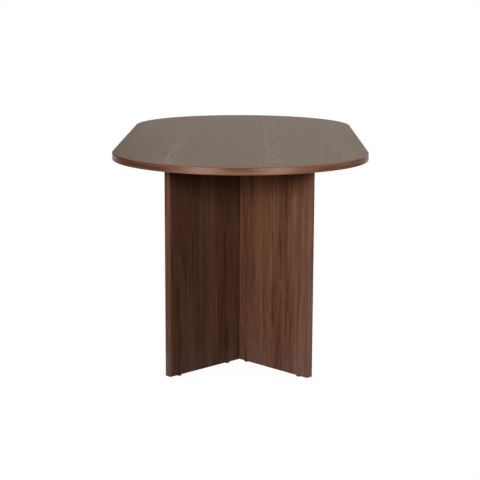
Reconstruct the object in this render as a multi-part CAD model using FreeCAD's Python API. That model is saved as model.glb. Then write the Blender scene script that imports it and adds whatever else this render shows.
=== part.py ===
import FreeCAD, Part
import math
import os

# Overall size of the table, in millimetres
TABLE_LENGTH = 1840.0
TABLE_WIDTH = 900.0
TABLE_HEIGHT = 750.0

# Top board: a core between a face laminate and a backing sheet, with a plastic band round its edge
TOP_THICKNESS = 25.0
FACE_LAMINATE_THICKNESS = 0.8
BACKING_SHEET_THICKNESS = 0.8
TOP_BAND_THICKNESS = 3.0
TOP_BAND_ROUNDING = 2.0
TOP_BAND_SEAM_GAP = 0.2

# Base: a through panel crossed by two half panels, turned between the length and the width of the table
BASE_CENTRE_FROM_END = 420.0
BASE_TURN = 45.0
PANEL_THICKNESS = 25.0
PANEL_REACH = 342.0
PANEL_BAND_THICKNESS = 1.0
PANEL_BAND_ROUNDING = 0.6

# Glides nailed under the panels
GLIDE_HEIGHT = 6.0
GLIDE_DIAMETER = 18.0
GLIDE_TAPER = 1.2
GLIDE_FROM_PANEL_END = 50.0
THROUGH_GLIDE_FROM_CENTRE = 37.0
NAIL_DIAMETER = 2.4
NAIL_LENGTH = 18.0
NAIL_POINT_LENGTH = 4.0
NAIL_HEAD_DIAMETER = 6.0
NAIL_HEAD_THICKNESS = 1.2
NAIL_HEAD_ABOVE_FLOOR = 1.6
NAIL_HEAD_CLEARANCE = 0.3
NAIL_CLEARANCE = 0.05
NAIL_POINT_GAP = 0.5

# Double-ended bolts that cross the through panel into a cam in each half panel
CAM_BOLT_COUNT = 3
CAM_BOLT_FROM_PANEL_EDGE = 90.0
CAM_BOLT_DIAMETER = 7.0
CAM_BOLT_NECK_DIAMETER = 4.6
CAM_BOLT_HEAD_DIAMETER = 6.8
CAM_BOLT_HEAD_LENGTH = 5.0
CAM_BOLT_SHOULDER_GAP = 0.5
CAM_BOLT_CLEARANCE = 0.25

# Cams, sunk into the half panels from the faces turned to the middle of the table
CAM_DIAMETER = 14.6
CAM_FROM_JOINT = 34.0
CAM_PAST_MIDPLANE = 6.5
CAM_BELOW_FACE = 0.5
CAM_CLEARANCE = 0.2
CAM_POCKET_CLEARANCE = 0.3
CAM_GROOVE_START = -45.0
CAM_GROOVE_SWEEP = 180.0
CAM_CROSS_LENGTH = 6.6
CAM_CROSS_WIDTH = 1.7
CAM_CROSS_DEPTH = 2.5

# Snap-in caps over the cams
CAP_OVERLAP = 1.3
CAP_THICKNESS = 1.5
CAP_ROUNDING = 0.6
CAP_CROSS_CLEARANCE = 0.2

# Dowels that cross the through panel and enter both half panels
DOWEL_DIAMETER = 8.0
DOWEL_DEPTH = 25.0
DOWEL_CHAMFER = 1.0
DOWEL_CLEARANCE = 0.1
DOWEL_END_GAP = 0.5

# Bent steel brackets between the panels and the top
BRACKET_FROM_CENTRE = 190.0
BRACKET_WIDTH = 40.0
BRACKET_LEG = 38.0
BRACKET_THICKNESS = 2.0
BRACKET_BEND_RADIUS = 2.0
BRACKET_CORNER_RADIUS = 5.0
BRACKET_HOLE_FROM_LEG_END = 14.0
BRACKET_HOLE_SPACING = 22.0

# Wood screws from the brackets into the panels
SCREW_DIAMETER = 3.5
SCREW_LENGTH = 16.0
SCREW_POINT_LENGTH = 4.0
SCREW_HEAD_DIAMETER = 7.0
SCREW_HEAD_HEIGHT = 2.4
SCREW_CROSS_LENGTH = 4.0
SCREW_CROSS_WIDTH = 0.9
SCREW_CROSS_DEPTH = 1.2
SCREW_BRACKET_CLEARANCE = 0.4
SCREW_PILOT_CLEARANCE = 0.05
SCREW_POINT_GAP = 0.5

# Machine bolts from the brackets into the inserts of the top
TOP_BOLT_DIAMETER = 6.0
TOP_BOLT_LENGTH = 16.0
TOP_BOLT_CHAMFER = 0.8
TOP_BOLT_HEAD_DIAMETER = 10.5
TOP_BOLT_HEAD_HEIGHT = 3.3
TOP_BOLT_SOCKET_ACROSS_FLATS = 4.0
TOP_BOLT_SOCKET_DEPTH = 2.0
TOP_BOLT_BRACKET_CLEARANCE = 0.3
TOP_BOLT_THREAD_CLEARANCE = 0.05

# Threaded inserts in the underside of the top
INSERT_DIAMETER = 10.0
INSERT_LENGTH = 13.0
INSERT_THREAD_DEPTH = 0.8
INSERT_THREAD_PITCH = 2.6
INSERT_RECESS = 0.3
INSERT_CLEARANCE = 0.05
INSERT_END_GAP = 1.0

# Heights and lengths worked out from the sizes above
PANEL_TOP = TABLE_HEIGHT - TOP_THICKNESS
PANEL_HEIGHT = PANEL_TOP - GLIDE_HEIGHT
PANEL_BOARD_REACH = PANEL_REACH - PANEL_BAND_THICKNESS
HALF_PANEL = PANEL_THICKNESS / 2
CAM_FROM_CENTRE = HALF_PANEL + CAM_FROM_JOINT
CAM_HOLE_DIAMETER = CAM_DIAMETER + 2 * CAM_CLEARANCE
BRACKET_HOLE_FROM_BEND = BRACKET_LEG - BRACKET_HOLE_FROM_LEG_END

# The two bases by the end of the table where they stand, +X or -X
BASE_SIDES = {"right_base": 1, "left_base": -1}

# Points closer than this are the same point
SAME_PLACE = 0.001

Vector = FreeCAD.Vector
Placement = FreeCAD.Placement
Rotation = FreeCAD.Rotation
ALONG_X = Vector(1, 0, 0)
ALONG_Y = Vector(0, 1, 0)
UP = Vector(0, 0, 1)
DOWN = Vector(0, 0, -1)
ORIGIN = Vector(0, 0, 0)


def moved(shape, placement):
    """A copy of a shape, carried by a placement."""
    copy = shape.copy()
    copy.Placement = placement.multiply(copy.Placement)
    return copy


def stood(shape, foot, axis):
    """A copy of a shape made along +Z, standing on a foot point along an axis."""
    return moved(shape, Placement(foot, Rotation(UP, axis)))


def turned(profile):
    """A round solid about the Z axis from a closed outline of radius and height."""
    points = [Vector(radius, 0, height) for radius, height in profile]
    return Part.Face(Part.makePolygon(points + points[:1])).revolve(ORIGIN, UP, 360)


def rod(diameter, length, foot, axis):
    """A plain cylinder, which also serves as a drill."""
    return Part.makeCylinder(diameter / 2, length, foot, axis)


def cut(board, tools):
    """A single solid with the tools taken out of it."""
    return board.cut(tools).Solids[0]


def centred_box(length, width, height, bottom):
    """A box centred on the Z axis."""
    return Part.makeBox(length, width, height, Vector(-length / 2, -width / 2, bottom))


def cross(length, width, height, bottom):
    """Two crossed bars on the Z axis, for a screwdriver recess or what fills it."""
    return centred_box(length, width, height, bottom).fuse(centred_box(width, length, height, bottom))


def level_edges(solid):
    """The edges of a solid that lie level."""
    return [edge for edge in solid.Edges if edge.BoundBox.ZLength < SAME_PLACE]


# Top board

def racetrack(inset, bottom, top):
    """A flat board of the table's outline, with half-round ends, drawn in by an inset."""
    radius = TABLE_WIDTH / 2 - inset
    straight = (TABLE_LENGTH - TABLE_WIDTH) / 2
    tip = straight + radius
    corners = [Vector(-straight, -radius, bottom), Vector(straight, -radius, bottom),
               Vector(straight, radius, bottom), Vector(-straight, radius, bottom)]
    wire = Part.Wire([
        Part.LineSegment(corners[0], corners[1]).toShape(),
        Part.Arc(corners[1], Vector(tip, 0, bottom), corners[2]).toShape(),
        Part.LineSegment(corners[2], corners[3]).toShape(),
        Part.Arc(corners[3], Vector(-tip, 0, bottom), corners[0]).toShape(),
    ])
    return Part.Face(wire).extrude(Vector(0, 0, top - bottom))


def insert_holes():
    """Drills for the threaded inserts, from the underside of the top."""
    bolt_reach = TOP_BOLT_LENGTH - BRACKET_THICKNESS
    depth = max(INSERT_RECESS + INSERT_LENGTH, bolt_reach) + INSERT_END_GAP
    diameter = INSERT_DIAMETER + 2 * INSERT_CLEARANCE
    return [rod(diameter, depth, point, UP) for point in insert_points()]


def tabletop_core():
    bottom = PANEL_TOP + BACKING_SHEET_THICKNESS
    top = TABLE_HEIGHT - FACE_LAMINATE_THICKNESS
    return cut(racetrack(TOP_BAND_THICKNESS, bottom, top), insert_holes())


def tabletop_face_laminate():
    return racetrack(TOP_BAND_THICKNESS, TABLE_HEIGHT - FACE_LAMINATE_THICKNESS, TABLE_HEIGHT)


def tabletop_backing_sheet():
    sheet = racetrack(TOP_BAND_THICKNESS, PANEL_TOP, PANEL_TOP + BACKING_SHEET_THICKNESS)
    return cut(sheet, insert_holes())


def tabletop_edge_band():
    """One strip round the edge, whose ends meet at a seam on a long side."""
    slab = racetrack(0, PANEL_TOP, TABLE_HEIGHT)
    slab = slab.makeFillet(TOP_BAND_ROUNDING, level_edges(slab))
    inside = racetrack(TOP_BAND_THICKNESS, PANEL_TOP, TABLE_HEIGHT)
    seam = Part.makeBox(TOP_BAND_SEAM_GAP, TABLE_WIDTH / 2, TOP_THICKNESS,
                        Vector(-TOP_BAND_SEAM_GAP / 2, -TABLE_WIDTH / 2, PANEL_TOP))
    return cut(slab, [inside, seam])


def threaded_insert():
    """A steel sleeve with a coarse outer thread, drawn as rings, and a plain bore."""
    bore = TOP_BOLT_DIAMETER / 2 + TOP_BOLT_THREAD_CLEARANCE
    crest = INSERT_DIAMETER / 2
    root = crest - INSERT_THREAD_DEPTH
    rings = int(INSERT_LENGTH / INSERT_THREAD_PITCH)
    pitch = INSERT_LENGTH / rings
    outside = []
    for ring in range(rings):
        outside += [(root, ring * pitch), (crest, (ring + 0.5) * pitch)]
    outside.append((root, INSERT_LENGTH))
    return turned([(bore, 0)] + outside + [(bore, INSERT_LENGTH)])


def insert_points():
    """Where the inserts start, in the underside of the top."""
    return [base_placement(side).multVec(point) for side in BASE_SIDES.values() for point in bolt_points()]


def tabletop_threaded_inserts():
    insert = threaded_insert()
    return [stood(insert, point + UP * INSERT_RECESS, UP) for point in insert_points()]


# Places of the fasteners within a base, whose through panel lies along X and half panels along Y

def base_placement(side):
    """Where a base stands: the base at the -X end is the other one turned half round."""
    centre = Vector(side * (TABLE_LENGTH / 2 - BASE_CENTRE_FROM_END), 0, 0)
    half_turn = 0 if side > 0 else 180
    return Placement(centre, Rotation(UP, BASE_TURN + half_turn))


def cam_bolt_heights():
    first = GLIDE_HEIGHT + CAM_BOLT_FROM_PANEL_EDGE
    step = (PANEL_HEIGHT - 2 * CAM_BOLT_FROM_PANEL_EDGE) / (CAM_BOLT_COUNT - 1)
    return [first + index * step for index in range(CAM_BOLT_COUNT)]


def dowel_heights():
    """One dowel half way between each two bolts."""
    heights = cam_bolt_heights()
    return [(low + high) / 2 for low, high in zip(heights, heights[1:])]


def bracket_placements():
    """Brackets sit on the faces turned away from the end of the table, one to each arm of the cross."""
    along = Rotation(UP, 0)
    across = Rotation(UP, 90)
    places = []
    for offset in (BRACKET_FROM_CENTRE, -BRACKET_FROM_CENTRE):
        places.append(Placement(Vector(offset, HALF_PANEL, PANEL_TOP), along))
        places.append(Placement(Vector(-HALF_PANEL, offset, PANEL_TOP), across))
    return places


def bracket_hole_offsets():
    return (-BRACKET_HOLE_SPACING / 2, BRACKET_HOLE_SPACING / 2)


def bolt_points():
    """Where the bolts pass the underside of the top."""
    return [place.multVec(Vector(offset, BRACKET_HOLE_FROM_BEND, 0))
            for place in bracket_placements() for offset in bracket_hole_offsets()]


def screw_places():
    """Where the screws enter the panel faces, with the way that they point."""
    return [(place.multVec(Vector(offset, 0, -BRACKET_HOLE_FROM_BEND)), place.Rotation.multVec(-ALONG_Y))
            for place in bracket_placements() for offset in bracket_hole_offsets()]


def through_glide_points():
    end = PANEL_REACH - GLIDE_FROM_PANEL_END
    return [Vector(x, 0, 0) for x in (-end, -THROUGH_GLIDE_FROM_CENTRE, THROUGH_GLIDE_FROM_CENTRE, end)]


def half_glide_points(side):
    outer = PANEL_REACH - GLIDE_FROM_PANEL_END
    inner = HALF_PANEL + GLIDE_FROM_PANEL_END
    return [Vector(0, side * y, 0) for y in (inner, outer)]


def glide_points():
    return through_glide_points() + half_glide_points(1) + half_glide_points(-1)


# Drills

def nail_holes(points):
    above_head = NAIL_HEAD_ABOVE_FLOOR + NAIL_HEAD_THICKNESS
    depth = above_head + NAIL_LENGTH + NAIL_POINT_GAP
    return [rod(NAIL_DIAMETER + 2 * NAIL_CLEARANCE, depth, point, UP) for point in points]


def screw_holes():
    depth = SCREW_LENGTH - BRACKET_THICKNESS + SCREW_POINT_GAP
    diameter = SCREW_DIAMETER + 2 * SCREW_PILOT_CLEARANCE
    return [rod(diameter, depth, point, axis) for point, axis in screw_places()]


def cam_bolt_holes():
    """Drills for the bolts, which end at the axes of the cams."""
    diameter = CAM_BOLT_DIAMETER + 2 * CAM_BOLT_CLEARANCE
    return [rod(diameter, 2 * CAM_FROM_CENTRE, Vector(0, -CAM_FROM_CENTRE, height), ALONG_Y)
            for height in cam_bolt_heights()]


def dowel_holes():
    length = PANEL_THICKNESS + 2 * (DOWEL_DEPTH + DOWEL_END_GAP)
    return [rod(DOWEL_DIAMETER + 2 * DOWEL_CLEARANCE, length, Vector(0, -length / 2, height), ALONG_Y)
            for height in dowel_heights()]


def cam_holes(side):
    depth = HALF_PANEL + CAM_PAST_MIDPLANE
    return [rod(CAM_HOLE_DIAMETER, depth, Vector(-HALF_PANEL, side * CAM_FROM_CENTRE, height), ALONG_X)
            for height in cam_bolt_heights()]


# Panels and their edge bands

def through_panel():
    board = centred_box(2 * PANEL_BOARD_REACH, PANEL_THICKNESS, PANEL_HEIGHT, GLIDE_HEIGHT)
    drills = cam_bolt_holes() + dowel_holes() + screw_holes() + nail_holes(through_glide_points())
    return cut(board, drills)


def half_panel(side):
    """A half panel on the +Y or -Y side of the through panel."""
    length = PANEL_BOARD_REACH - HALF_PANEL
    near = HALF_PANEL if side > 0 else -PANEL_BOARD_REACH
    board = Part.makeBox(PANEL_THICKNESS, length, PANEL_HEIGHT, Vector(-HALF_PANEL, near, GLIDE_HEIGHT))
    drills = cam_bolt_holes() + dowel_holes() + screw_holes() + nail_holes(half_glide_points(side))
    return cut(board, drills + cam_holes(side))


def end_band(heading):
    """An upright edge band on the end of the panel that points along a heading in degrees."""
    band = Part.makeBox(PANEL_BAND_THICKNESS, PANEL_THICKNESS, PANEL_HEIGHT,
                        Vector(PANEL_BOARD_REACH, -HALF_PANEL, GLIDE_HEIGHT))
    outer_edges = [edge for edge in band.Edges if edge.BoundBox.XMin > PANEL_REACH - SAME_PLACE]
    arrises = [edge for edge in outer_edges if edge.BoundBox.ZLength > SAME_PLACE]
    band = band.makeFillet(PANEL_BAND_ROUNDING, arrises)
    return moved(band, Placement(ORIGIN, Rotation(UP, heading)))


# Cam joints

def cam_bolt():
    """A double-ended bolt along Z, centred on the through panel."""
    head_end = CAM_FROM_CENTRE + CAM_BOLT_HEAD_LENGTH / 2
    head_start = head_end - CAM_BOLT_HEAD_LENGTH
    body_end = CAM_FROM_CENTRE - CAM_DIAMETER / 2 - CAM_BOLT_SHOULDER_GAP
    head = CAM_BOLT_HEAD_DIAMETER / 2
    neck = CAM_BOLT_NECK_DIAMETER / 2
    half = [(CAM_BOLT_DIAMETER / 2, body_end), (neck, body_end), (neck, head_start),
            (head, head_start), (head, head_end), (0, head_end)]
    other_half = [(radius, -height) for radius, height in reversed(half)]
    return turned(other_half + half)


def cam_bolts():
    bolt = cam_bolt()
    return [stood(bolt, Vector(0, 0, height), ALONG_Y) for height in cam_bolt_heights()]


def cam_lock():
    """A cam along Z from its deep end, with the bolt arriving along X and let in along Y."""
    radius = CAM_DIAMETER / 2
    length = HALF_PANEL + CAM_PAST_MIDPLANE - CAM_BELOW_FACE
    head = CAM_BOLT_HEAD_DIAMETER / 2 + CAM_POCKET_CLEARANCE
    neck = CAM_BOLT_NECK_DIAMETER / 2 + CAM_POCKET_CLEARANCE
    pocket_radius = math.hypot(CAM_BOLT_HEAD_DIAMETER / 2, CAM_BOLT_HEAD_LENGTH / 2) + CAM_POCKET_CLEARANCE
    pocket = rod(2 * pocket_radius, 2 * head, Vector(0, 0, CAM_PAST_MIDPLANE - head), UP)
    groove = Part.makeCylinder(CAM_DIAMETER, 2 * neck, Vector(0, 0, CAM_PAST_MIDPLANE - neck), UP,
                               CAM_GROOVE_SWEEP)
    groove.rotate(ORIGIN, UP, CAM_GROOVE_START)
    mouth = Part.makeBox(2 * head, CAM_DIAMETER, 2 * head, Vector(-head, 0, CAM_PAST_MIDPLANE - head))
    recess = cross(CAM_CROSS_LENGTH, CAM_CROSS_WIDTH, CAM_CROSS_DEPTH, length - CAM_CROSS_DEPTH)
    return cut(rod(2 * radius, length, ORIGIN, UP), [pocket, groove, mouth, recess])


def cam_places():
    """The side of each cam's half panel and its height."""
    return [(side, height) for side in (1, -1) for height in cam_bolt_heights()]


def cam_locks():
    cam = cam_lock()
    locks = []
    for side, height in cam_places():
        facing = Rotation(Vector(0, -side, 0), Vector(0, 0, side), -ALONG_X, "ZXY")
        deep_end = Vector(CAM_PAST_MIDPLANE, side * CAM_FROM_CENTRE, height)
        locks.append(moved(cam, Placement(deep_end, facing)))
    return locks


def cam_cap():
    """A cap along Z, from the face of the panel, whose cross plugs into the cam."""
    disc = rod(CAM_HOLE_DIAMETER + 2 * CAP_OVERLAP, CAP_THICKNESS, ORIGIN, UP)
    rim = [edge for edge in level_edges(disc) if edge.BoundBox.ZMin > CAP_THICKNESS / 2]
    disc = disc.makeFillet(CAP_ROUNDING, rim)
    depth = CAM_BELOW_FACE + CAM_CROSS_DEPTH - CAP_CROSS_CLEARANCE
    plug = cross(CAM_CROSS_LENGTH - 2 * CAP_CROSS_CLEARANCE, CAM_CROSS_WIDTH - 2 * CAP_CROSS_CLEARANCE,
                 depth, -depth)
    return disc.fuse(plug).Solids[0]


def cam_caps():
    cap = cam_cap()
    return [stood(cap, Vector(-HALF_PANEL, side * CAM_FROM_CENTRE, height), -ALONG_X)
            for side, height in cam_places()]


def dowels():
    half_length = HALF_PANEL + DOWEL_DEPTH
    radius = DOWEL_DIAMETER / 2
    half = [(radius, half_length - DOWEL_CHAMFER), (radius - DOWEL_CHAMFER, half_length), (0, half_length)]
    dowel = turned([(r, -height) for r, height in reversed(half)] + half)
    return [stood(dowel, Vector(0, 0, height), ALONG_Y) for height in dowel_heights()]


# Brackets and what holds them

def bracket_leg_holes(diameter, clearance, foot, axis):
    """Drills through one leg of a bracket, side by side along X."""
    return [rod(diameter + 2 * clearance, BRACKET_THICKNESS, foot + ALONG_X * offset, axis)
            for offset in bracket_hole_offsets()]


def bent_strip():
    """The bracket before it is drilled: a strip bent square about X, with one leg down and one level."""
    thick = BRACKET_THICKNESS
    bend = BRACKET_BEND_RADIUS
    outer_bend = bend + thick
    on_bend = math.sqrt(0.5)
    x = -BRACKET_WIDTH / 2
    outer_mid = Vector(x, outer_bend * (1 - on_bend), -outer_bend * (1 - on_bend))
    inner_mid = Vector(x, outer_bend - bend * on_bend, bend * on_bend - outer_bend)
    corners = [Vector(x, 0, -BRACKET_LEG), Vector(x, 0, -outer_bend), Vector(x, outer_bend, 0),
               Vector(x, BRACKET_LEG, 0), Vector(x, BRACKET_LEG, -thick), Vector(x, outer_bend, -thick),
               Vector(x, thick, -outer_bend), Vector(x, thick, -BRACKET_LEG)]
    outline = Part.Wire([
        Part.LineSegment(corners[0], corners[1]).toShape(),
        Part.Arc(corners[1], outer_mid, corners[2]).toShape(),
        Part.LineSegment(corners[2], corners[3]).toShape(),
        Part.LineSegment(corners[3], corners[4]).toShape(),
        Part.LineSegment(corners[4], corners[5]).toShape(),
        Part.Arc(corners[5], inner_mid, corners[6]).toShape(),
        Part.LineSegment(corners[6], corners[7]).toShape(),
        Part.LineSegment(corners[7], corners[0]).toShape(),
    ])
    return Part.Face(outline).extrude(ALONG_X * BRACKET_WIDTH)


def leg_corners(strip):
    """The short edges at the free corners of a bracket's legs."""
    free_end = BRACKET_LEG - SAME_PLACE
    return [edge for edge in strip.Edges if edge.BoundBox.XLength < SAME_PLACE
            and (edge.BoundBox.YMin > free_end or edge.BoundBox.ZMax < -free_end)]


def angle_bracket():
    """A bracket along X: one leg down the panel face at y = 0, the other under the top at z = 0."""
    strip = bent_strip()
    strip = strip.makeFillet(BRACKET_CORNER_RADIUS, leg_corners(strip))
    top_foot = Vector(0, BRACKET_HOLE_FROM_BEND, -BRACKET_THICKNESS)
    panel_foot = Vector(0, 0, -BRACKET_HOLE_FROM_BEND)
    holes = bracket_leg_holes(TOP_BOLT_DIAMETER, TOP_BOLT_BRACKET_CLEARANCE, top_foot, UP)
    holes += bracket_leg_holes(SCREW_DIAMETER, SCREW_BRACKET_CLEARANCE, panel_foot, ALONG_Y)
    return cut(strip, holes)


def angle_brackets():
    bracket = angle_bracket()
    return [moved(bracket, place) for place in bracket_placements()]


def wood_screw():
    """A pan-headed screw along Z, whose head sits below z = 0."""
    shank = SCREW_DIAMETER / 2
    head = SCREW_HEAD_DIAMETER / 2
    crown = head - SCREW_HEAD_HEIGHT / 2
    blank = turned([(0, -SCREW_HEAD_HEIGHT), (crown, -SCREW_HEAD_HEIGHT), (head, -SCREW_HEAD_HEIGHT / 2),
                    (head, 0), (shank, 0), (shank, SCREW_LENGTH - SCREW_POINT_LENGTH), (0, SCREW_LENGTH)])
    recess = cross(SCREW_CROSS_LENGTH, SCREW_CROSS_WIDTH, SCREW_CROSS_DEPTH, -SCREW_HEAD_HEIGHT)
    return cut(blank, [recess])


def bracket_screws():
    screw = wood_screw()
    return [stood(screw, point - axis * BRACKET_THICKNESS, axis) for point, axis in screw_places()]


def top_bolt():
    """A button-headed bolt along Z with a hexagon socket, whose head sits below z = 0."""
    shank = TOP_BOLT_DIAMETER / 2
    head = TOP_BOLT_HEAD_DIAMETER / 2
    crown = head - TOP_BOLT_HEAD_HEIGHT / 2
    blank = turned([(0, -TOP_BOLT_HEAD_HEIGHT), (crown, -TOP_BOLT_HEAD_HEIGHT),
                    (head, -TOP_BOLT_HEAD_HEIGHT / 2), (head, 0), (shank, 0),
                    (shank, TOP_BOLT_LENGTH - TOP_BOLT_CHAMFER),
                    (shank - TOP_BOLT_CHAMFER, TOP_BOLT_LENGTH), (0, TOP_BOLT_LENGTH)])
    corner = TOP_BOLT_SOCKET_ACROSS_FLATS / math.sqrt(3)
    hexagon = [Vector(corner * math.cos(k * math.pi / 3), corner * math.sin(k * math.pi / 3),
                      -TOP_BOLT_HEAD_HEIGHT) for k in range(6)]
    socket = Part.Face(Part.makePolygon(hexagon + hexagon[:1])).extrude(UP * TOP_BOLT_SOCKET_DEPTH)
    return cut(blank, [socket])


def top_bolts():
    bolt = top_bolt()
    return [stood(bolt, point + DOWN * BRACKET_THICKNESS, UP) for point in bolt_points()]


# Glides

def glide_pads():
    """Tapered buttons with a stepped hole, so that the nail head stays clear of the floor."""
    rim = GLIDE_DIAMETER / 2
    foot = rim - GLIDE_TAPER
    bore = NAIL_DIAMETER / 2 + NAIL_CLEARANCE
    well = NAIL_HEAD_DIAMETER / 2 + NAIL_HEAD_CLEARANCE
    shoulder = NAIL_HEAD_ABOVE_FLOOR + NAIL_HEAD_THICKNESS
    pad = turned([(well, 0), (foot, 0), (rim, GLIDE_TAPER), (rim, GLIDE_HEIGHT), (bore, GLIDE_HEIGHT),
                  (bore, shoulder), (well, shoulder)])
    return [stood(pad, point, UP) for point in glide_points()]


def glide_nails():
    shank = NAIL_DIAMETER / 2
    head = NAIL_HEAD_DIAMETER / 2
    neck = NAIL_HEAD_THICKNESS
    nail = turned([(0, 0), (head, 0), (head, neck), (shank, neck),
                   (shank, neck + NAIL_LENGTH - NAIL_POINT_LENGTH), (0, neck + NAIL_LENGTH)])
    return [stood(nail, point + UP * NAIL_HEAD_ABOVE_FLOOR, UP) for point in glide_points()]


def base_pieces():
    """The solids of one base by name; the half panel along -Y comes to face the end of the table."""
    return {
        "through_panel": [through_panel()],
        "outer_half_panel": [half_panel(-1)],
        "inner_half_panel": [half_panel(1)],
        "through_panel_end_bands": [end_band(0), end_band(180)],
        "outer_half_panel_end_band": [end_band(270)],
        "inner_half_panel_end_band": [end_band(90)],
        "cam_bolts": cam_bolts(),
        "cam_locks": cam_locks(),
        "cam_caps": cam_caps(),
        "dowels": dowels(),
        "angle_brackets": angle_brackets(),
        "bracket_screws": bracket_screws(),
        "top_bolts": top_bolts(),
        "glide_pads": glide_pads(),
        "glide_nails": glide_nails(),
    }


def table_pieces():
    """Every node of the table with its solids."""
    pieces = {
        "tabletop_core": [tabletop_core()],
        "tabletop_face_laminate": [tabletop_face_laminate()],
        "tabletop_backing_sheet": [tabletop_backing_sheet()],
        "tabletop_edge_band": [tabletop_edge_band()],
        "tabletop_threaded_inserts": tabletop_threaded_inserts(),
    }
    base = base_pieces()
    for base_name, side in BASE_SIDES.items():
        for piece, solids in base.items():
            pieces[base_name + "_" + piece] = [moved(solid, base_placement(side)) for solid in solids]
    return pieces


os.makedirs("parts", exist_ok=True)
for node, solids in table_pieces().items():
    shape = solids[0] if len(solids) == 1 else Part.makeCompound(solids)
    shape.exportStep("parts/" + node + ".step")
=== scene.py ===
import math
from typing import NamedTuple

import bmesh
import bpy
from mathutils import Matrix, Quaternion, Vector

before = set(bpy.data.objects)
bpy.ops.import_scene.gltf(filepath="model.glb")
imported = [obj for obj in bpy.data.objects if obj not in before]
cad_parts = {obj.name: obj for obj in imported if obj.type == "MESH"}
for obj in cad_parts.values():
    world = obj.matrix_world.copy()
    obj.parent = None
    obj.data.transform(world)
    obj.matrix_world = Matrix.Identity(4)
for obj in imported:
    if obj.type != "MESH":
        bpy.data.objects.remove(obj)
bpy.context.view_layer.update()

# Camera, in metres, degrees and millimetres: the near end of the table seen from a little above
CAMERA_PLACE = Vector((5.065, 0.0472, 1.2962))
CAMERA_AIM = Vector((0.0, -0.0052, 0.3428))
CAMERA_ROLL = 0.23
CAMERA_LENS = 98.37
CAMERA_SENSOR = 36.0
CAMERA_REACH = 500.0

# Plain colours, and a pattern that is not shifted
WHITE = (1.0, 1.0, 1.0, 1.0)
BLACK = (0.0, 0.0, 0.0, 1.0)
NO_SHIFT = (0.0, 0.0, 0.0)

# Stage, in metres: a pale floor and a white backdrop that glow but do not light the table
FLOOR_HALF_SIDE = 60.0
FLOOR_DROP = 0.0005
BACKDROP_RADIUS = 50.0
BACKDROP_SEGMENTS = 48
BACKDROP_RINGS = 24
WHITE_GLOW = 1.0

# Painted contact shadow on the floor: its glow right under something that stands on it, and how far
# off it is full again
CONTACT_SHADOW_GLOW = 0.975
CONTACT_REACH = 0.25

# Half length and half width of the sheet of floor that shows in the gloss of the table
GLOSS_SHEET = (2.2, 1.7)

# Faint even light from all round, and the point that the soft boxes face
SKY_STRENGTH = 0.04
LIGHT_TARGET = Vector((0.65, 0.0, 0.45))

# Soft boxes: azimuth from +X and elevation in degrees, distance, width and height in metres, and
# the brightness that a white card facing the box would show at the table
SOFT_BOXES = {
    "left_box": (-38.0, 15.0, 3.4, 1.2, 1.0, 0.722),
    "right_box": (34.0, 15.0, 3.4, 1.1, 1.0, 0.456),
    "left_strip": (-32.0, -1.0, 3.4, 1.0, 0.7, 0.29),
    "right_strip": (30.0, -1.0, 3.4, 1.05, 0.7, 0.315),
    "front_box": (12.0, 25.0, 3.4, 1.6, 1.0, 0.744),
    "crown_box": (5.0, 56.0, 3.4, 1.4, 1.0, 0.31),
    "side_box": (90.0, 19.0, 3.4, 1.6, 1.4, 0.22),
    "side_strip": (94.0, -1.0, 3.4, 1.4, 0.7, 0.014),
    "back_box": (151.0, 15.0, 7.9, 12.0, 5.0, 0.23),
    "rear_left_box": (-145.0, 16.0, 5.0, 2.4, 1.6, 0.70),
    "rear_right_box": (145.0, 16.0, 5.0, 2.4, 1.6, 0.70),
    "low_left_box": (-150.0, -1.0, 3.4, 1.4, 0.7, 0.033),
    "low_right_box": (150.0, -1.0, 3.4, 1.4, 0.7, 0.021),
}

# Colours of the boxes that are not plain white
WARM_LIGHT = {"back_box": (1.0, 1.0, 0.89)}

# Boxes that light the table without showing in its gloss, which keeps glare off the top
NO_SHEEN = ("left_box", "right_box", "front_box", "side_box", "rear_left_box", "rear_right_box")

# Low boxes that show only in the gloss of upright faces
SHEEN_ONLY = ("left_strip", "right_strip", "side_strip", "low_left_box", "low_right_box")


# How a step of 1 between two layers of noise moves the second on each axis
LAYER_DRIFT = (1.0, 0.3, 0.6)


# Colours and the scale of patterns
def colour(red, green, blue):
    """A solid colour."""
    return (red, green, blue, 1.0)


def tinted(rgb, factor, tint=WHITE):
    """A colour made darker or paler by a factor, and tinted."""
    return colour(*(channel * factor * share for channel, share in zip(rgb[:3], tint)))


def even(scale):
    """The same scale on all three axes."""
    return (scale, scale, scale)


def along_grain(grain, across, along):
    """Scale per axis: few changes along the grain, many across it."""
    return tuple(along if runs else across for runs in grain)


def apart(shift, step):
    """A shift of its own for one layer of noise, so that no two layers repeat each other."""
    return tuple(part + step * drift for part, drift in zip(shift, LAYER_DRIFT))


# The axes that the grain of a piece follows
GRAIN_UPRIGHT = (0, 0, 1)
GRAIN_LENGTHWISE = (1, 0, 0)
GRAIN_ROUND_EDGE = (1, 1, 0)

# Where nearly all of a noise lies
NOISE_SPAN = (0.3, 0.7)

# Layers of the walnut print, from broad figure to pores: scale across and along the grain per
# metre, step from the first layer, detail and roughness of the noise
WALNUT_LAYERS = {
    "broad": (6.0, 0.4, 2.3, 1.0, 0.5),
    "warmth": (10.0, 0.5, 11.8, 1.0, 0.5),
    "cluster": (11.0, 1.3, 5.9, 1.0, 0.5),
    "figure": (17.0, 0.6, 0.0, 1.0, 0.5),
    "streak": (45.0, 1.6, 0.0, 1.0, 0.5),
    "stripe": (120.0, 4.5, 4.3, 1.0, 0.5),
    "fleck": (180.0, 24.0, 8.7, 0.0, 0.5),
    "groove": (190.0, 6.0, 1.7, 0.0, 0.5),
    "thread": (200.0, 5.0, 7.1, 0.0, 0.5),
    "fine": (620.0, 9.0, 0.0, 2.0, 0.6),
    "pore": (1000.0, 30.0, 0.0, 1.0, 0.5),
}

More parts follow.
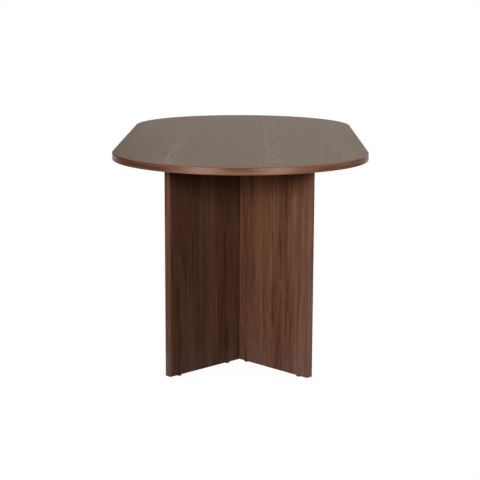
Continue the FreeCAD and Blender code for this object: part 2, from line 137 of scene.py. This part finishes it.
# The grain wanders sideways: scale across and along it, and how far, in metres
WANDER_SCALE = (4.0, 1.5)
WANDER = 0.010

# Share of the layers in the tone, and of the thin lines and flecks, which each look scales
TONE_WEIGHTS = {"broad": 0.25, "figure": 0.50, "streak": 0.55, "stripe": 0.30, "fine": 0.10}
THREAD_WEIGHT = 0.60
GROOVE_WEIGHT = -0.30
FLECK_WEIGHT = 0.08

# Where pale threads and dark grooves come in clusters, and where a layer counts as one of them
IN_CLUSTER = (0.50, 0.60)
OFF_CLUSTER = (0.50, 0.40)
THREAD_SPAN = (0.55, 0.68)
GROOVE_SPAN = (0.56, 0.68)
FLECK_SPAN = (0.58, 0.72)

# Middle of the tone, and the factor and tint of the darkest and the palest print
TONE_MIDDLE = 0.88
DARKEST = 0.50
PALEST = 1.50
DARK_TINT = colour(1.06, 0.97, 0.93)
PALE_TINT = colour(0.95, 1.03, 1.12)

# Cool and warm areas of the print
WARMTH_SPAN = (0.36, 0.64)
COOL_TINT = colour(0.95, 1.01, 1.14)
WARM_TINT = colour(1.05, 0.99, 0.86)

# Pores: where they are, how much darker at full contrast, and the relief of pores and fibre
PORE_SPAN = (0.60, 0.72)
PORE_DARKENING = 0.2
FIBRE_RELIEF = 0.7
PORE_RELIEF = -0.5
RELIEF_DEPTH = 0.00008
RELIEF_STRENGTH = 0.5

# Painted cool reflection of the white floor on the feet of the panels: its tint at the floor, and
# from where to where in metres
FLOOR_SHEEN_TINT = colour(0.98, 1.10, 1.42)
FLOOR_SHEEN_REACH = (0.0, 0.13)

# Bands of thin lines on the top: middle and half width across it, in metres
LINE_BANDS = ((-0.230, 0.036), (0.107, 0.042), (0.362, 0.038))
BAND_CORE = 0.4

# The lines lie evenly spaced, in metres, and sway: how much, at what scale, and the noise's step
LINE_SPACING = 0.0075
LINE_SWAY = 6.0
SWAY_SCALE = (40.0, 0.5)
SWAY_STEP = 6.7

# They are broken into dashes and fade towards the far end, from one place along the top to another
DASH_SCALE = (260.0, 16.0)
DASH_SPAN = (0.42, 0.52)
LINES_FADE = (-0.7, 0.4)
LINES_LEFT = 0.15

# Crests of the even wave are pale and glossy lines, troughs are dark and dull ones
CREST_SPAN = (0.1, 0.9)
TROUGH_SPAN = (-0.1, -0.9)
PALE_LINE = colour(0.125, 0.074, 0.054)
DARK_LINE = colour(0.050, 0.022, 0.0115)
PALE_LINE_MATT = -0.12
DARK_LINE_MATT = 0.07

# Corners of the edge bands are painted paler, a painted highlight along the arrises together with
# rubbing wear: how far in metres, where a rounded normal turns away from the face's by cosine, and
# how much of the paler corner stays, by cluster
CORNER_REACH = 0.0025
CORNER_SAMPLES = 8
CORNER_TURN = (0.99, 0.90)
HIGHLIGHT_WEAR_SPAN = (0.30, 0.60)
HIGHLIGHT_WEAR_SHARE = (0.6, 1.0)


class Walnut(NamedTuple):
    """One look of the walnut print."""

    base: tuple
    contrast: float
    lines: float
    roughness: tuple
    specular: float
    shift: tuple


TOP_LOOK = Walnut(
    base=colour(0.083, 0.0386, 0.0212),
    contrast=0.35,
    lines=0.6,
    roughness=(0.39, 0.41),
    specular=0.27,
    shift=NO_SHIFT,
)
PANEL_LOOK = Walnut(
    base=colour(0.0950, 0.0394, 0.0204),
    contrast=1.48,
    lines=1.7,
    roughness=(0.50, 0.60),
    specular=0.04,
    shift=(12.4, 2.3, 8.6),
)
# Darker copy of the panel print: mostly painted shade on the half panels, partly a board tone of
# their own
SHADED_HALF_PANEL_LOOK = Walnut(
    base=colour(0.0454, 0.0192, 0.0110),
    contrast=1.6,
    lines=0.9,
    roughness=(0.50, 0.60),
    specular=0.04,
    shift=(11.4, 17.7, 1.9),
)
EDGE_BAND_LOOK = Walnut(
    base=colour(0.1085, 0.0423, 0.0212),
    contrast=0.9,
    lines=1.6,
    roughness=(0.36, 0.42),
    specular=0.42,
    shift=(16.0, 23.8, 29.5),
)
UPRIGHT_BAND_LOOK = Walnut(
    base=colour(0.0875, 0.0368, 0.0192),
    contrast=1.5,
    lines=2.4,
    roughness=(0.36, 0.44),
    specular=0.21,
    shift=(16.3, 1.8, 2.0),
)


class Recipe:
    """One procedural material, with the few kinds of node that the finishes share."""

    def __init__(self, name):
        self.material = bpy.data.materials.new(name)
        self.material.use_nodes = True
        self.nodes = self.material.node_tree.nodes
        self.links = self.material.node_tree.links
        self.shader = self.nodes["Principled BSDF"]
        self.place = self.nodes.new("ShaderNodeTexCoord").outputs["Object"]

    def feed(self, socket, source):
        """Gives a socket a link, a number or a colour."""
        if isinstance(source, bpy.types.NodeSocket):
            self.links.new(source, socket)
        else:
            socket.default_value = source

    def set(self, **values):
        """Sets sockets of the shader by name, with _ for a space."""
        for name, value in values.items():
            self.feed(self.shader.inputs[name.replace("_", " ")], value)

    def stretched(self, place, scale, shift=NO_SHIFT):
        """A place scaled on each axis, then shifted."""
        node = self.nodes.new("ShaderNodeMapping")
        self.feed(node.inputs["Vector"], place)
        node.inputs["Scale"].default_value = scale
        node.inputs["Location"].default_value = shift
        return node.outputs["Vector"]

    def noise(self, place, scale, detail, rough=0.5, shift=NO_SHIFT, output="Fac"):
        """Smooth noise with a scale of its own on each axis."""
        node = self.nodes.new("ShaderNodeTexNoise")
        self.feed(node.inputs["Vector"], self.stretched(place, scale, shift))
        node.inputs["Scale"].default_value = 1.0
        node.inputs["Detail"].default_value = detail
        node.inputs["Roughness"].default_value = rough
        return node.outputs[output]

    def cells(self, place, scale):
        """Distance from the middle of a cell, and a colour for each cell."""
        node = self.nodes.new("ShaderNodeTexVoronoi")
        self.feed(node.inputs["Vector"], self.stretched(place, scale))
        node.inputs["Scale"].default_value = 1.0
        return node.outputs["Distance"], node.outputs["Color"]

    def span(self, value, low, high, to_low=0.0, to_high=1.0):
        """Maps low..high of a value to to_low..to_high, held at the ends."""
        node = self.nodes.new("ShaderNodeMapRange")
        self.feed(node.inputs["Value"], value)
        node.inputs["From Min"].default_value = low
        node.inputs["From Max"].default_value = high
        node.inputs["To Min"].default_value = to_low
        node.inputs["To Max"].default_value = to_high
        return node.outputs["Result"]

    def combined(self, operation, a, b=None):
        """Arithmetic on one or two values."""
        node = self.nodes.new("ShaderNodeMath")
        node.operation = operation
        self.feed(node.inputs[0], a)
        if b is not None:
            self.feed(node.inputs[1], b)
        return node.outputs["Value"]

    def weighted(self, *pairs):
        """Sum of values times weights."""
        total = None
        for value, weight in pairs:
            part = self.combined("MULTIPLY", value, weight)
            total = part if total is None else self.combined("ADD", total, part)
        return total

    def part_of(self, place, axis):
        """One coordinate of a place."""
        node = self.nodes.new("ShaderNodeSeparateXYZ")
        self.feed(node.inputs["Vector"], place)
        return node.outputs[axis]

    def near(self, value, spots):
        """1 close to any of several values, given with half widths, and 0 away from them."""
        total = None
        for middle, half_width in spots:
            off = self.combined("ABSOLUTE", self.combined("SUBTRACT", value, middle))
            inside = self.span(off, half_width, BAND_CORE * half_width)
            total = inside if total is None else self.combined("MAXIMUM", total, inside)
        return total

    def corners(self):
        """1 along the corners of a piece and 0 on its faces."""
        rounded = self.nodes.new("ShaderNodeBevel")
        rounded.samples = CORNER_SAMPLES
        rounded.inputs["Radius"].default_value = CORNER_REACH
        surface = self.nodes.new("ShaderNodeNewGeometry")
        turn = self.nodes.new("ShaderNodeVectorMath")
        turn.operation = "DOT_PRODUCT"
        self.links.new(rounded.outputs["Normal"], turn.inputs[0])
        self.links.new(surface.outputs["Normal"], turn.inputs[1])
        return self.span(turn.outputs["Value"], *CORNER_TURN)

    def ramp(self, value, *stops):
        """A colour for each value, from positions and their colours."""
        node = self.nodes.new("ShaderNodeValToRGB")
        self.feed(node.inputs["Fac"], value)
        points = node.color_ramp.elements
        while len(points) < len(stops):
            points.new(0.5)
        for point, (position, shade) in zip(points, stops):
            point.position = position
            point.color = shade
        return node.outputs["Color"]

    def shades(self, value, reach, first, last):
        """A colour that goes from a first to a last one over a reach of values."""
        low, high = reach
        return self.ramp(value, (low, first), (high, last))

    def mixed(self, share, a, b, blend="MIX"):
        """Two colours mixed, or the first blended with the second in another way."""
        node = self.nodes.new("ShaderNodeMix")
        node.data_type = "RGBA"
        node.blend_type = blend
        self.feed(node.inputs["Factor"], share)
        self.feed(node.inputs[6], a)
        self.feed(node.inputs[7], b)
        return node.outputs[2]

    def moved(self, place, offset, amount):
        """Shifts a place by a noise colour, so straight lines wander a little."""
        node = self.nodes.new("ShaderNodeVectorMath")
        node.operation = "MULTIPLY_ADD"
        self.feed(node.inputs[0], offset)
        node.inputs[1].default_value = even(amount)
        self.feed(node.inputs[2], place)
        return node.outputs["Vector"]

    def bump(self, height, depth, strength):
        """Relief of the surface, with its depth in metres."""
        node = self.nodes.new("ShaderNodeBump")
        self.feed(node.inputs["Height"], height)
        node.inputs["Distance"].default_value = depth
        node.inputs["Strength"].default_value = strength
        self.links.new(node.outputs["Normal"], self.shader.inputs["Normal"])


# Wood-print finishes
def walnut_layers(make, grain, shift):
    """Noise of every width from broad figure to pores, drawn out along the grain."""
    wander_scale = along_grain(grain, *WANDER_SCALE)
    wander = make.noise(make.place, wander_scale, detail=1.0, shift=shift, output="Color")
    place = make.moved(make.place, wander, WANDER)
    return {
        name: make.noise(place, along_grain(grain, across, along), detail, rough, apart(shift, step))
        for name, (across, along, step, detail, rough) in WALNUT_LAYERS.items()
    }


def walnut_tone(make, layers, look):
    """How pale the print is: figure and streaks, with clusters of thin pale or dark lines."""
    in_cluster = make.span(layers["cluster"], *IN_CLUSTER)
    off_cluster = make.span(layers["cluster"], *OFF_CLUSTER)
    threads = make.combined("MULTIPLY", make.span(layers["thread"], *THREAD_SPAN), in_cluster)
    grooves = make.combined("MULTIPLY", make.span(layers["groove"], *GROOVE_SPAN), off_cluster)
    flecks = make.span(layers["fleck"], *FLECK_SPAN)
    tone = make.weighted(
        *((layers[name], weight) for name, weight in TONE_WEIGHTS.items()),
        (threads, THREAD_WEIGHT * look.lines),
        (grooves, GROOVE_WEIGHT * look.lines),
        (flecks, FLECK_WEIGHT * look.lines),
    )
    half_span = 0.5 / look.contrast
    return make.span(tone, TONE_MIDDLE - half_span, TONE_MIDDLE + half_span)


def walnut_colour(make, layers, look):
    """Colour of the print: its tone, warm and cool areas, pores, and a painted cool reflection of
    the floor near its foot.
    """
    print_colour = make.ramp(
        walnut_tone(make, layers, look),
        (0.0, tinted(look.base, DARKEST, DARK_TINT)),
        (0.5, look.base),
        (1.0, tinted(look.base, PALEST, PALE_TINT)),
    )
    warmth = make.shades(layers["warmth"], WARMTH_SPAN, COOL_TINT, WARM_TINT)
    print_colour = make.mixed(min(look.contrast, 1.0), print_colour, warmth, "MULTIPLY")
    pores = make.span(layers["pore"], *PORE_SPAN, 1.0, 1.0 - PORE_DARKENING * look.contrast)
    print_colour = make.mixed(1.0, print_colour, pores, "MULTIPLY")
    # Painted cool reflection of the white floor on the lowest part of each piece
    dust_and_sheen = make.shades(make.part_of(make.place, "Z"), FLOOR_SHEEN_REACH, FLOOR_SHEEN_TINT, WHITE)
    return make.mixed(1.0, print_colour, dust_and_sheen, "MULTIPLY")


def finish_walnut(make, layers, look, print_colour, matt=None):
    """Sheen that follows the streaks, and a shallow relief of fibre and pores."""
    roughness = make.span(layers["streak"], *NOISE_SPAN, *look.roughness)
    if matt is not None:
        roughness = make.combined("ADD", roughness, matt)
    make.set(Base_Color=print_colour, Roughness=roughness, Specular_IOR_Level=look.specular)
    relief = make.weighted((layers["fine"], FIBRE_RELIEF), (layers["pore"], PORE_RELIEF))
    make.bump(relief, RELIEF_DEPTH, RELIEF_STRENGTH)
    return make.material


def walnut_board(name, look):
    """Printed walnut of an upright board."""
    make = Recipe(name)
    layers = walnut_layers(make, GRAIN_UPRIGHT, look.shift)
    return finish_walnut(make, layers, look, walnut_colour(make, layers, look))


def top_lines(make):
    """Shares of pale and of dark line on the top: thin, even, broken, and in a few bands."""
    across = make.part_of(make.place, "Y")
    in_band = make.near(across, LINE_BANDS)
    kept = make.span(make.part_of(make.place, "X"), *LINES_FADE, LINES_LEFT, 1.0)
    sway_scale = along_grain(GRAIN_LENGTHWISE, *SWAY_SCALE)
    sway = make.noise(make.place, sway_scale, detail=0.0, shift=apart(NO_SHIFT, SWAY_STEP))
    turns = make.weighted((across, 2.0 * math.pi / LINE_SPACING), (sway, LINE_SWAY))
    wave = make.combined("SINE", turns)
    dashes = make.noise(make.place, along_grain(GRAIN_LENGTHWISE, *DASH_SCALE), detail=0.0)
    kept = make.combined("MULTIPLY", kept, make.span(dashes, *DASH_SPAN))
    in_band = make.combined("MULTIPLY", in_band, kept)
    pale = make.combined("MULTIPLY", make.span(wave, *CREST_SPAN), in_band)
    dark = make.combined("MULTIPLY", make.span(wave, *TROUGH_SPAN), in_band)
    return pale, dark


def walnut_top(name, look):
    """Printed walnut of the top, calm but for a few bands of thin pale and dark lines."""
    make = Recipe(name)
    layers = walnut_layers(make, GRAIN_LENGTHWISE, look.shift)
    print_colour = walnut_colour(make, layers, look)
    pale, dark = top_lines(make)
    print_colour = make.mixed(pale, print_colour, PALE_LINE)
    print_colour = make.mixed(dark, print_colour, DARK_LINE)
    matt = make.weighted((pale, PALE_LINE_MATT), (dark, DARK_LINE_MATT))
    return finish_walnut(make, layers, look, print_colour, matt)


def walnut_band(name, look, grain, highlit_and_rubbed):
    """Printed walnut of an edge band, its corners made paler by a factor: a painted highlight along
    the arrises together with rubbing wear.
    """
    make = Recipe(name)
    layers = walnut_layers(make, grain, look.shift)
    print_colour = walnut_colour(make, layers, look)
    # Paler corners: painted highlight along the arrises, together with rubbing wear
    highlight_and_wear_share = make.span(layers["cluster"], *HIGHLIGHT_WEAR_SPAN, *HIGHLIGHT_WEAR_SHARE)
    highlit_and_worn = make.combined("MULTIPLY", make.corners(), highlight_and_wear_share)
    print_colour = make.mixed(highlit_and_worn, print_colour, tinted(look.base, highlit_and_rubbed))
    return finish_walnut(make, layers, look, print_colour)


# Beech of the dowels
BEECH_FIBRE_SCALE = (260.0, 260.0, 900.0)
BEECH_FLECK_SCALE = (700.0, 700.0, 2200.0)
BEECH_FIBRE_SHARE = 0.7
BEECH_FLECK_SHARE = 0.3
BEECH_SPAN = (0.35, 0.65)
BEECH_DARK = colour(0.40, 0.25, 0.14)
BEECH_PALE = colour(0.62, 0.43, 0.27)
BEECH_ROUGHNESS = (0.55, 0.75)


def beech():
    """Pale wood with fine fibre and flecks."""
    make = Recipe("finish_beech")
    fibre = make.noise(make.place, BEECH_FIBRE_SCALE, detail=3.0)
    fleck = make.noise(make.place, BEECH_FLECK_SCALE, detail=1.0)
    tone = make.weighted((fibre, BEECH_FIBRE_SHARE), (fleck, BEECH_FLECK_SHARE))
    make.set(
        Base_Color=make.shades(tone, BEECH_SPAN, BEECH_DARK, BEECH_PALE),
        Roughness=make.span(fibre, *NOISE_SPAN, *BEECH_ROUGHNESS),
    )
    make.bump(fibre, depth=0.00010, strength=0.5)
    return make.material


# Particleboard of the core
CHIP_SCALE = (330.0, 420.0, 520.0)
CHIP_DUST_SCALE = even(900.0)
CHIP_SPAN = (0.0, 0.9)
CHIP_MIDDLE = colour(0.52, 0.37, 0.22)
CHIP_RIM = colour(0.30, 0.19, 0.10)
CHIP_VARIETY = 0.25
CHIP_ROUGHNESS = (0.75, 0.95)


def particleboard():
    """Pressed chips of several browns."""
    make = Recipe("finish_particleboard")
    off_middle, chip_colour = make.cells(make.place, CHIP_SCALE)
    dust_and_sheen = make.noise(make.place, CHIP_DUST_SCALE, detail=2.0)
    chips = make.shades(off_middle, CHIP_SPAN, CHIP_MIDDLE, CHIP_RIM)
    make.set(
        Base_Color=make.mixed(CHIP_VARIETY, chips, chip_colour, "OVERLAY"),
        Roughness=make.span(dust_and_sheen, *NOISE_SPAN, *CHIP_ROUGHNESS),
    )
    make.bump(dust_and_sheen, depth=0.00020, strength=0.6)
    return make.material


# Balancing paper under the top
PAPER_CLOUD_SCALE = (4.0, 9.0, 9.0)
PAPER_FIBRE_SCALE = (120.0, 600.0, 600.0)
PAPER_CLOUD_SHARE = 0.6
PAPER_FIBRE_SHARE = 0.4
PAPER_SPAN = (0.35, 0.65)
PAPER_DARK = colour(0.060, 0.032, 0.020)
PAPER_PALE = colour(0.095, 0.052, 0.034)
PAPER_ROUGHNESS = (0.60, 0.78)


def backing_sheet():
    """Plain brown balancing paper with a faint fibre."""
    make = Recipe("finish_backing_sheet")
    cloud = make.noise(make.place, PAPER_CLOUD_SCALE, detail=3.0)
    fibre = make.noise(make.place, PAPER_FIBRE_SCALE, detail=3.0)
    tone = make.weighted((cloud, PAPER_CLOUD_SHARE), (fibre, PAPER_FIBRE_SHARE))
    make.set(
        Base_Color=make.shades(tone, PAPER_SPAN, PAPER_DARK, PAPER_PALE),
        Roughness=make.span(fibre, *NOISE_SPAN, *PAPER_ROUGHNESS),
        Specular_IOR_Level=0.3,
    )
    make.bump(fibre, depth=0.00006, strength=0.5)
    return make.material


# Hardware finishes
METAL_CLOUD_SCALE = even(60.0)
METAL_GRIT_SCALE = even(1500.0)
PLASTIC_CLOUD_SCALE = even(90.0)
PLASTIC_SKIN_SCALE = even(2200.0)


def metal(name, dark, light, roughness, grit):
    """Plated or cast metal with a cloudy surface and fine grit, its depth in metres."""
    make = Recipe(name)
    cloud = make.noise(make.place, METAL_CLOUD_SCALE, detail=3.0)
    fine = make.noise(make.place, METAL_GRIT_SCALE, detail=2.0)
    make.set(
        Base_Color=make.shades(cloud, NOISE_SPAN, dark, light),
        Metallic=1.0,
        Roughness=make.span(cloud, *NOISE_SPAN, *roughness),
    )
    make.bump(fine, depth=grit, strength=0.4)
    return make.material


def plastic(name, dark, light, roughness, grit):
    """Moulded plastic with a fine pebbled skin, its depth in metres."""
    make = Recipe(name)
    cloud = make.noise(make.place, PLASTIC_CLOUD_SCALE, detail=2.0)
    skin = make.noise(make.place, PLASTIC_SKIN_SCALE, detail=1.0)
    make.set(
        Base_Color=make.shades(cloud, NOISE_SPAN, dark, light),
        Roughness=make.span(skin, *NOISE_SPAN, *roughness),
        Specular_IOR_Level=0.4,
    )
    make.bump(skin, depth=grit, strength=0.5)
    return make.material


# A finish for each slot of the record
finishes = {
    "walnut_laminate": walnut_top("finish_walnut_laminate", TOP_LOOK),
    "walnut_panel": walnut_board("finish_walnut_panel", PANEL_LOOK),
    "walnut_edge_band": walnut_band(
        "finish_walnut_edge_band", EDGE_BAND_LOOK, GRAIN_ROUND_EDGE, highlit_and_rubbed=1.35
    ),
    "particleboard": particleboard(),
    "backing_sheet": backing_sheet(),
    "zinc_plated_steel": metal(
        "finish_zinc_plated_steel",
        dark=colour(0.46, 0.47, 0.50),
        light=colour(0.66, 0.66, 0.66),
        roughness=(0.28, 0.42),
        grit=0.00003,
    ),
    "cast_zinc": metal(
        "finish_cast_zinc",
        dark=colour(0.34, 0.35, 0.37),
        light=colour(0.50, 0.50, 0.51),
        roughness=(0.45, 0.62),
        grit=0.00008,
    ),
    "brown_plastic": plastic(
        "finish_brown_plastic",
        dark=colour(0.060, 0.028, 0.017),
        light=colour(0.085, 0.041, 0.025),
        roughness=(0.38, 0.48),
        grit=0.00003,
    ),
    "beech": beech(),
    "dark_plastic": plastic(
        "finish_dark_plastic",
        dark=colour(0.020, 0.017, 0.015),
        light=colour(0.032, 0.027, 0.024),
        roughness=(0.45, 0.58),
        grit=0.00004,
    ),
}

# Finishes of the half panels and of the upright bands, which differ from the rest of their slots;
# the half panels' darker print is mostly painted shade, partly a board tone of their own
shaded_half_panel_finish = walnut_board("finish_walnut_half_panel_shaded", SHADED_HALF_PANEL_LOOK)
upright_band_finish = walnut_band(
    "finish_walnut_upright_band", UPRIGHT_BAND_LOOK, GRAIN_UPRIGHT, highlit_and_rubbed=1.7
)


def finish_for(node_name, slot_name):
    """The finish of a node: its slot's, apart from the half panels and the upright bands."""
    if node_name.endswith("half_panel"):
        return shaded_half_panel_finish
    if slot_name == "walnut_edge_band" and "panel" in node_name:
        return upright_band_finish
    return finishes[slot_name]


def dress_nodes():
    """Gives every node of the frame its finish."""
    for name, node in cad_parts.items():
        for place in node.material_slots:
            place.material = finish_for(name, place.material.name)


# Stage, light and camera
def glowing(name):
    """Plain white finish of the stage, which gives its own light."""
    make = Recipe(name)
    make.set(
        Base_Color=BLACK,
        Roughness=1.0,
        Specular_IOR_Level=0.0,
        Emission_Color=WHITE,
        Emission_Strength=WHITE_GLOW,
    )
    return make


def glowing_floor(name):
    """The stage's white, with a faint painted contact shadow where something stands close."""
    make = glowing(name)
    # Painted contact shadow: the floor's glow drops where the table is close
    near = make.nodes.new("ShaderNodeAmbientOcclusion")
    near.inputs["Distance"].default_value = CONTACT_REACH
    make.set(Emission_Strength=make.span(near.outputs["AO"], 0.0, 1.0, CONTACT_SHADOW_GLOW, WHITE_GLOW))
    return make


def add_stage_piece(name, mesh, make):
    """A piece of the stage, seen by the camera but not by the table."""
    piece = bpy.data.objects.new(name, mesh)
    bpy.context.scene.collection.objects.link(piece)
    mesh.materials.append(make.material)
    piece.visible_diffuse = False
    piece.visible_glossy = False
    return piece


def flat_sheet(name, half_x, half_y, height):
    """A level rectangle round the middle of the table."""
    mesh = bpy.data.meshes.new(name)
    corners = [(-half_x, -half_y), (half_x, -half_y), (half_x, half_y), (-half_x, half_y)]
    mesh.from_pydata([(x, y, height) for x, y in corners], [], [(0, 1, 2, 3)])
    return mesh


def add_floor():
    """The floor, and the sheet of it round the table that shows in the gloss of the bands."""
    mesh = flat_sheet("floor", FLOOR_HALF_SIDE, FLOOR_HALF_SIDE, -FLOOR_DROP)
    add_stage_piece("floor", mesh, glowing_floor("stage_floor"))
    mesh = flat_sheet("floor_gloss", *GLOSS_SHEET, -0.5 * FLOOR_DROP)
    sheet = add_stage_piece("floor_gloss", mesh, glowing("stage_floor_gloss"))
    sheet.visible_camera = False
    sheet.visible_shadow = False
    sheet.visible_glossy = True


def add_backdrop():
    """A white shell round everything."""
    mesh = bpy.data.meshes.new("backdrop")
    shell = bmesh.new()
    bmesh.ops.create_uvsphere(
        shell, u_segments=BACKDROP_SEGMENTS, v_segments=BACKDROP_RINGS, radius=BACKDROP_RADIUS
    )
    shell.to_mesh(mesh)
    shell.free()
    backdrop = add_stage_piece("backdrop", mesh, glowing("stage_backdrop"))
    backdrop.visible_shadow = False


def add_sky():
    """Faint even light from all round."""
    sky = bpy.data.worlds.new("sky")
    sky.use_nodes = True
    background = sky.node_tree.nodes["Background"]
    background.inputs["Color"].default_value = WHITE
    background.inputs["Strength"].default_value = SKY_STRENGTH
    bpy.context.scene.world = sky


def add_soft_box(name, azimuth, elevation, distance, width, height, level):
    """A soft box that faces the light's target, with its power worked out from its brightness."""
    around = math.radians(azimuth)
    above = math.radians(elevation)
    flat = math.cos(above)
    way = Vector((math.cos(around) * flat, math.sin(around) * flat, math.sin(above)))
    lamp = bpy.data.lights.new(name, "AREA")
    lamp.shape = "RECTANGLE"
    lamp.size = width
    lamp.size_y = height
    lamp.energy = level * (math.pi * distance) ** 2
    lamp.color = WARM_LIGHT.get(name, WHITE[:3])
    box = bpy.data.objects.new(name, lamp)
    box.location = LIGHT_TARGET + way * distance
    box.rotation_euler = (-way).to_track_quat("-Z", "Y").to_euler()
    box.visible_camera = False
    box.visible_glossy = name not in NO_SHEEN
    box.visible_diffuse = name not in SHEEN_ONLY
    bpy.context.scene.collection.objects.link(box)


def add_camera():
    """The camera, aimed and rolled a little."""
    lens = bpy.data.cameras.new("camera")
    lens.sensor_width = CAMERA_SENSOR
    lens.lens = CAMERA_LENS
    lens.clip_end = CAMERA_REACH
    camera = bpy.data.objects.new("camera", lens)
    camera.location = CAMERA_PLACE
    camera.rotation_mode = "QUATERNION"
    look = (CAMERA_AIM - CAMERA_PLACE).to_track_quat("-Z", "Y")
    camera.rotation_quaternion = look @ Quaternion((0.0, 0.0, 1.0), math.radians(CAMERA_ROLL))
    bpy.context.scene.collection.objects.link(camera)
    bpy.context.scene.camera = camera


dress_nodes()
add_floor()
add_backdrop()
add_sky()
for box_name, settings in SOFT_BOXES.items():
    add_soft_box(box_name, *settings)
add_camera()
bpy.context.scene.view_settings.view_transform = "Standard"
